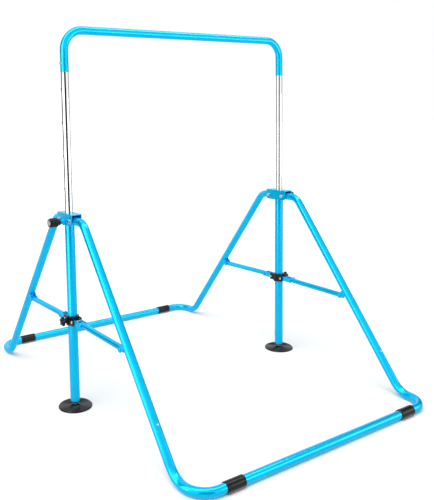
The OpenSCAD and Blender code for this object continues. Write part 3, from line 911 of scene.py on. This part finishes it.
@dataclass
class Collar:
    """A sliding collar: its bands, clamp and arm screws, lobed knob and the braces' end plugs."""

    side: Side
    frame: Frame
    paints: Paints
    collar_r: float = 25.0 * MM
    height: float = 36.0 * MM
    arm_x: float = 14.8 * MM
    cheek_x: float = 19.8 * MM
    ear_y: float = 88.0 * MM
    clamp_y: float = 32.0 * MM
    brace_r: float = 11.0 * MM
    brace_over: float = 10.0 * MM
    brace_tip: float = 7.0 * MM
    knob_r: float = 16.0 * MM
    lobes: int = 5
    lobe_share: float = 0.2

    def centre(self) -> np.ndarray:
        """The collar's middle, on the post's axis."""
        return self.frame.pivot(f"clamp_knob_turn_{self.side.label}")

    def ribs(self) -> list[Patch]:
        """Two moulded bands round the collar, at its upper and lower edges."""
        place = Place.upright(self.centre())
        root, crest = self.collar_r - 1 * MM, self.collar_r + 0.9 * MM
        half = 3 * MM
        rings = []
        for edge in (-1, 1):
            z = edge * (self.height / 2 - half)
            loop = [(z - half, root), (z - half, crest), (z + half, crest), (z + half, root)]
            rings.append(turned(place, eased(loop, 0.8 * MM, 4, ring=True), 96, ring=True))
        return rings

    def screws(self) -> tuple[list[Patch], list[Patch]]:
        """The clamp screws through both halves, and the short pivot screws in each arm."""
        clamps, pivots = [], []
        out = np.array([self.side.value, 0.0, 0.0])
        for end in (-1, 1):
            mid = self.centre() + np.array([0, end * self.clamp_y, 0])
            head = Place.outward(self.side, mid + self.cheek_x * out)
            nut = Place.inward(self.side, mid - self.cheek_x * out)
            clamps += [shank(head, 2 * self.cheek_x, 3 * MM, 24), domed_head(head, 6 * MM, 3.8 * MM, 2 * MM)]
            clamps += [hex_head(nut, 6 * MM, 4.2 * MM), thread_end(nut, 2.95 * MM, 3.6 * MM, 5 * MM, 0.9 * MM)]
            ear = self.centre() + np.array([0, end * self.ear_y, 0])
            head = Place.outward(self.side, ear + self.arm_x * out)
            nut = Place.inward(self.side, ear - self.arm_x * out)
            pivots += [shank(head, 3 * MM, 4 * MM, 24), shank(nut, 3 * MM, 4 * MM, 24)]
            pivots += [domed_head(head, 7.5 * MM, 3.9 * MM, 2.4 * MM), hex_head(nut, 7.4 * MM, 4.8 * MM)]
        return clamps, pivots

    def knob(self) -> None:
        """The lobed clamp knob on its stud."""
        label = self.side.label
        low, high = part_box(f"collar_knob_{label}")
        inner = high.x if self.side is Side.LEFT else low.x
        spot = Place.outward(self.side, (inner, *self.centre()[1:]))
        n = high.x - low.x
        mean = self.knob_r
        neck = [(0, 0), (0, 8 * MM), (5 * MM, 8.5 * MM), (6.5 * MM, mean - 1.5 * MM), (8 * MM, mean)]
        face = [(n - 5 * MM, mean), (n - 2.5 * MM, mean - 1.6 * MM), (n - 2 * MM, 8 * MM), (n, 7 * MM), (n, 3.4 * MM)]
        pit = [(n - 1 * MM, 3 * MM), (n - 1 * MM, 0)]
        shape = lobed(self.lobes, self.lobe_share, 5.5 * MM)
        knob = [turned(spot, eased(neck + face + pit, 1.4 * MM, 6), 120, shape)]
        name = f"clamp_knob_{label}"
        make_piece(name, knob, self.paints, Slot.BLACK, name, (f"collar_knob_{label}",))

    def brace_plugs(self, end: End) -> None:
        """Domed plugs in both ends of a brace."""
        body = f"brace_{end.label}_{self.side.label}"
        lug = self.frame.pivot(f"{body}_pivot")
        ear = self.centre() + np.array([0, end.value * self.ear_y, 0])
        run = (ear - lug) / np.linalg.norm(ear - lug)
        r = self.brace_r
        stub = [(-8 * MM, 0), (-8 * MM, r - 2.3 * MM), (0, r - 2.2 * MM)]
        cap = [(0, r - 0.3 * MM), (1.2 * MM, r - 0.8 * MM), (1.8 * MM, 0)]
        rows = eased(stub + cap, 0.8 * MM, 4)
        tips = [
            turned(Place.along(ear + self.brace_tip * run, run, (1, 0, 0)), rows, 48),
            turned(Place.along(lug - self.brace_over * run, -run, (1, 0, 0)), rows, 48),
        ]
        make_piece(f"{body}_plugs", tips, self.paints, Slot.BLUE, body)

    def build(self) -> None:
        """Makes the collar's pieces and its two braces' plugs."""
        label, body = self.side.label, f"collar_{self.side.label}"
        clamps, pivots = self.screws()
        make_piece(f"clamp_screws_{label}", clamps, self.paints, Slot.ZINC, body, (f"collar_screws_{label}",))
        make_piece(f"pivot_screws_{label}", pivots, self.paints, Slot.BLUE, body, (f"ear_screws_{label}",))
        make_piece(f"collar_ribs_{label}", self.ribs(), self.paints, Slot.BLACK, body)
        self.knob()
        for end in End:
            self.brace_plugs(end)


@dataclass
class Foot:
    """A post's round foot plate, with ridges, on its levelling stem."""

    side: Side
    frame: Frame
    paints: Paints
    stem_r: float = 8.0 * MM
    ridges: int = 5
    ridge_height: float = 1.5 * MM

    def build(self) -> None:
        """Makes the plate, whose deck has ridges of height * max(0, cos(turn * r / pitch))^0.6, and its stem."""
        label = self.side.label
        low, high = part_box(f"foot_disc_{label}")
        radius, top = (high.x - low.x) / 2, high.z
        place = Place.upright((self.frame.post_x(self.side), 0, 0))
        rim = [(0, 0), (0, radius - 2.5 * MM), (1.2 * MM, radius), (3.6 * MM, radius), (6.2 * MM, radius - 2.5 * MM)]
        run = np.linspace(radius - 6 * MM, 24 * MM, 90)
        pitch = (run[0] - run[-1]) / self.ridges
        wave = np.maximum(0.0, np.cos(FULL_TURN * (run[0] - run) / pitch + math.pi)) ** 0.6
        deck = np.stack([6.4 * MM + self.ridge_height * wave, run], axis=1)
        bore = self.stem_r + 0.1 * MM
        boss = [(8.4 * MM, 22 * MM), (top - 0.4 * MM, 14 * MM), (top, 12.6 * MM)]
        boss += [(top, bore), (3 * MM, bore), (3 * MM, 0)]
        rows = np.concatenate([eased(rim, 1.4 * MM, 6), deck, eased(boss, 1.2 * MM, 5)])
        plate, body = [turned(place, rows, 128)], f"foot_{label}"
        make_piece(f"foot_plate_{label}", plate, self.paints, Slot.BLACK, body, (f"foot_disc_{label}",))
        low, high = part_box(f"foot_stem_{label}")
        stem = Place.upright((self.frame.post_x(self.side), 0, low.z))
        rod = thread_end(stem, self.stem_r, 0.0, high.z - low.z, 2.0 * MM)
        make_piece(f"foot_screw_{label}", [rod], self.paints, Slot.ZINC, body, (f"foot_stem_{label}",))


@dataclass
class CadDress:
    """Gives every CAD node its finish by the record's material slot."""

    nodes: dict[str, bpy.types.Object]
    record: dict
    paints: Paints

    def build(self) -> None:
        """Assigns each node's material slots, leaving its mesh as it is."""
        by_value = {slot.value: slot for slot in Slot}
        wanted = {row["node"]: by_value[row["material_slot"]] for row in self.record["subparts"]}
        for name, node in self.nodes.items():
            slot = wanted[name]
            if not node.material_slots:
                node.data.materials.append(None)
            for held in node.material_slots:
                held.material = self.paints.of(slot)
        LOG.info("dressed %d nodes", len(self.nodes))


# ---- studio ---------------------------------------------------------------


@dataclass(frozen=True)
class View:
    """The camera: position in metres, yaw, pitch and roll in radians, focal length and centre in pixels."""

    position: tuple[float, float, float] = (-1.67477, -2.30379, 1.17131)
    yaw: float = 0.99508
    pitch: float = -0.10416
    roll: float = -0.01976
    focal: float = 660.152
    centre: tuple[float, float] = (150.0, 180.0)
    size: tuple[int, int] = (434, 500)

    def build(self) -> None:
        """Makes the camera from its three directions and its shift."""
        yaw, pitch, roll = self.yaw, self.pitch, self.roll
        ahead = np.array([math.cos(pitch) * math.cos(yaw), math.cos(pitch) * math.sin(yaw), math.sin(pitch)])
        right = np.array([math.sin(yaw), -math.cos(yaw), 0.0])
        up = np.cross(right, ahead)
        turn_right = math.cos(roll) * right + math.sin(roll) * up
        turn_up = -math.sin(roll) * right + math.cos(roll) * up
        data = bpy.data.cameras.new("view")
        data.sensor_width = SENSOR
        data.lens = self.focal * SENSOR / max(self.size)
        data.shift_x = (self.size[0] / 2 - self.centre[0]) / max(self.size)
        data.shift_y = (self.centre[1] - self.size[1] / 2) / max(self.size)
        data.clip_end = 100.0
        camera = bpy.data.objects.new("view", data)
        basis = np.eye(4)
        basis[:3, 0], basis[:3, 1], basis[:3, 2], basis[:3, 3] = turn_right, turn_up, -ahead, self.position
        camera.matrix_world = Matrix(basis.tolist())
        bpy.context.scene.collection.objects.link(camera)
        bpy.context.scene.camera = camera


@dataclass
class Studio:
    """A pale floor in a pale dome, a wide soft sun and an even fill, and cards that only reflections see."""

    fill: float = 0.56
    sun_strength: float = 2.4
    sun_spread: float = 55.0
    sun_from: tuple[float, float, float] = (-0.4, -0.15, 0.9)
    span: float = 60.0

    def staged(self, name: str, patch: Patch) -> bpy.types.Object:
        """A surface that belongs to the studio."""
        mesh = bpy.data.meshes.new(name)
        mesh.from_pydata(patch.points.reshape(-1, 3), [], patch.faces().tolist())
        item = bpy.data.objects.new(name, mesh)
        bpy.context.scene.collection.objects.link(item)
        return item

    def sheet(self, name: str, centre: tuple, across: tuple, up: tuple) -> bpy.types.Object:
        """A flat rectangle: centre plus or minus its two half sides."""
        c, a, u = (np.asarray(v, float) for v in (centre, across, up))
        grid = np.array([[c - a - u, c + a - u], [c - a + u, c + a + u]])
        return self.staged(name, Patch(grid, wrap_columns=False))

    def glow(self, item: bpy.types.Object, tone: float, seen: bool) -> None:
        """Makes a surface glow in one tone in reflections and, where seen, to the camera, but not as a light."""
        item.data.materials.append(
            Graph(f"{item.name}_glow").finish(
                Base_Color=(0.0, 0.0, 0.0),
                Roughness=1.0,
                Specular_IOR_Level=0.0,
                Emission_Color=(tone, tone, tone),
                Emission_Strength=1.0,
            )
        )
        item.visible_camera = seen
        item.visible_diffuse = False
        item.visible_shadow = False
        item.visible_transmission = False

    def card(self, name: str, azimuth: float, width: float, far: float, heights: tuple, tone: float) -> None:
        """A card that faces the middle, at an azimuth and distance; its width is an angle too, in degrees."""
        angle, half = math.radians(azimuth), far * math.tan(math.radians(width / 2))
        centre = (far * math.cos(angle), far * math.sin(angle), sum(heights) / 2)
        across = (-half * math.sin(angle), half * math.cos(angle), 0.0)
        card = self.sheet(name, centre, across, (0.0, 0.0, (heights[1] - heights[0]) / 2))
        self.glow(card, tone, seen=False)

    def sun(self) -> None:
        """The wide soft sun."""
        data = bpy.data.lights.new("sun", "SUN")
        data.energy = self.sun_strength
        data.angle = math.radians(self.sun_spread)
        lamp = bpy.data.objects.new("sun", data)
        place = Place.along((0.0, 0.0, 5.0), self.sun_from, (0, 1, 0))
        basis = np.eye(4)
        basis[:3, 0], basis[:3, 1], basis[:3, 2] = np.cross(place.across, place.axis), place.across, place.axis
        basis[:3, 3] = place.origin
        lamp.matrix_world = Matrix(basis.tolist())
        bpy.context.scene.collection.objects.link(lamp)

    def build(self) -> None:
        """Sets up the floor, dome, fill and sun, then cards at an azimuth, width, distance, heights and tone."""
        floor = self.sheet("floor", (0, 0, 0), (self.span, 0, 0), (0, self.span, 0))
        floor.data.materials.append(PaleFloor().material())
        arc, reach = np.linspace(0.0, math.pi, 33), 0.9 * self.span
        profile = np.stack([-reach * np.cos(arc), reach * np.sin(arc)], axis=1)
        profile[[0, -1], 1] = 0.0
        self.glow(self.staged("dome", turned(Place.upright((0, 0, 0)), profile, 64)), 1.0, seen=True)
        world = bpy.data.worlds.new("fill")
        world.use_nodes = True
        back = world.node_tree.nodes["Background"]
        back.inputs["Color"].default_value = (1.0, 1.0, 1.0, 1.0)
        back.inputs["Strength"].default_value = self.fill
        bpy.context.scene.world = world
        self.sun()
        self.card("strip_left", 187.0, 26.0, 1.75, (0.0, 2.6), 3.0)
        self.card("strip_front", 306.0, 38.0, 3.2, (0.55, 1.3), 3.0)
        self.card("flag_near", 241.0, 42.0, 3.2, (0.0, 1.75), 0.0)
        self.card("flag_back", 145.0, 40.0, 3.0, (0.0, 4.0), 0.0)
        self.card("flag_right", 355.0, 36.0, 3.0, (0.0, 4.0), 0.12)
        self.glow(self.sheet("ceiling", (0, 0, 5.5), (7, 0, 0), (0, 7, 0)), 0.6, seen=False)
        self.glow(self.sheet("strip_top", (1.0, -0.6, 5.0), (4.5, 0, 0), (0, 0.45, 0)), 6.0, seen=False)
        self.glow(self.sheet("ground", (0, 0, 0.5 * MM), (3, 0, 0), (0, 3, 0)), 0.72, seen=False)
        bpy.context.scene.view_settings.view_transform = "Standard"
        bpy.context.scene.view_settings.look = "None"


def main() -> None:
    """Loads the frame and builds the pieces round it, in order."""
    logging.basicConfig(level=logging.INFO, format="%(name)s %(message)s")
    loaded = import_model()
    View().build()
    Studio().build()
    paints = Paints.mixed()
    frame = Frame({joint["name"]: joint for joint in loaded["joints"]})
    CadDress(loaded["nodes"], loaded["record"], paints).build()
    sets = [Head(side, frame, paints).build() for side in Side]
    heads = [patch for outer, _ in sets for patch in outer]
    nuts = [patch for _, inner in sets for patch in inner]
    make_piece("hinge_heads", heads, paints, Slot.ZINC, "posts", ("hinge_bolts",))
    make_piece("hinge_locknuts", nuts, paints, Slot.ZINC, "posts", ("hinge_nuts",))
    for end in End:
        LegFrame(end, frame, paints).build()
    for side in Side:
        Collar(side, frame, paints).build()
        Foot(side, frame, paints).build()


if __name__ == "__main__":
    main()
